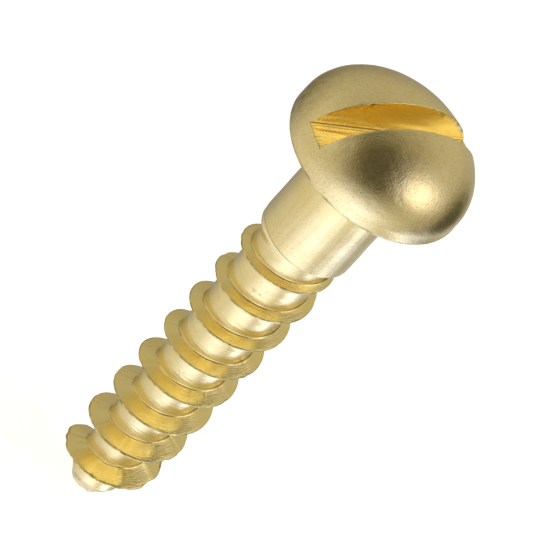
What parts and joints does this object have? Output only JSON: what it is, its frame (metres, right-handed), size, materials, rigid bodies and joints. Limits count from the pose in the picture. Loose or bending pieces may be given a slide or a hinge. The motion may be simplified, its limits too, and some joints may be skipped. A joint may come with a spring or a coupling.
{
  "type": "wood screw",
  "caption": "Slotted round-head brass wood screw with a domed head, a plain shank, a tapering core with a coarse right-hand thread, and a blunt point.",
  "frame": {"origin": "on the screw's axis, in the plane of the head's flat underside, where the head bears on the work", "axes": "+Z along the axis out of the crown of the head, so the screw points down -Z; the driver slot lies along X"},
  "size_m": [0.0094, 0.0094, 0.0289],
  "materials": {
    "brass_head": "satin tumbled brass, with a bright sawn slot",
    "brass_shank": "satin tumbled brass with faint lengthwise draw marks",
    "brass_thread": "bright cut brass with fine turning marks along the thread"
  },
  "bodies": {
    "root": {"head": "brass_head", "shank": "brass_shank", "threaded_core": "brass_thread", "thread": "brass_thread", "point": "brass_thread"}
  },
  "joints": []
}
